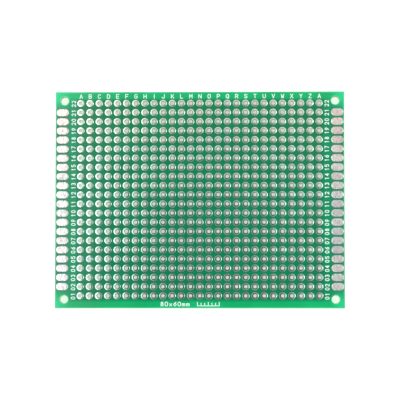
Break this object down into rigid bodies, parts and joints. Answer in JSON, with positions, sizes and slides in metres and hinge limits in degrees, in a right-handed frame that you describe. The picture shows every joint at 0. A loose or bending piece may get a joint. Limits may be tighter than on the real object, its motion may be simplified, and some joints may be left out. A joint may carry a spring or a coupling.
{
  "type": "prototype board",
  "caption": "Flat rectangular double-sided prototype board with a square grid of plated, tinned holes, a row of soldered edge pads down each short side, mounting holes and a printed index.",
  "frame": {"origin": "middle of the back face, in the plane of the back pads' solder that the board lies on", "axes": "+X along the lettered edge to the right, +Y towards the lettered edge, +Z out of the front face"},
  "size_m": [0.08, 0.06, 0.0016],
  "materials": {
    "laminate": "cut glass-epoxy laminate",
    "solder_mask": "glossy green solder mask",
    "solder": "hot-levelled bright tin, slightly uneven",
    "ink": "printed white ink"
  },
  "bodies": {
    "root": {"laminate": "laminate", "mask_front": "solder_mask", "mask_back": "solder_mask", "plated_holes_a": "solder", "plated_holes_b": "solder", "plated_holes_c": "solder", "plated_holes_d": "solder", "plated_holes_e": "solder", "plated_holes_f": "solder", "plated_holes_g": "solder", "plated_holes_h": "solder", "plated_holes_i": "solder", "plated_holes_j": "solder", "plated_holes_k": "solder", "plated_holes_l": "solder", "plated_holes_m": "solder", "plated_holes_n": "solder", "plated_holes_o": "solder", "plated_holes_p": "solder", "plated_holes_q": "solder", "plated_holes_r": "solder", "plated_holes_s": "solder", "plated_holes_t": "solder", "plated_holes_u": "solder", "plated_holes_v": "solder", "plated_holes_w": "solder", "plated_holes_x": "solder", "plated_holes_y": "solder", "plated_holes_z": "solder", "plated_holes_a2": "solder", "edge_pads_left_front": "solder", "edge_pads_right_front": "solder", "edge_pads_left_back": "solder", "edge_pads_right_back": "solder", "letters": "ink", "numbers_left": "ink", "numbers_right": "ink", "size_mark": "ink", "scale_mark": "ink"}
  },
  "joints": []
}
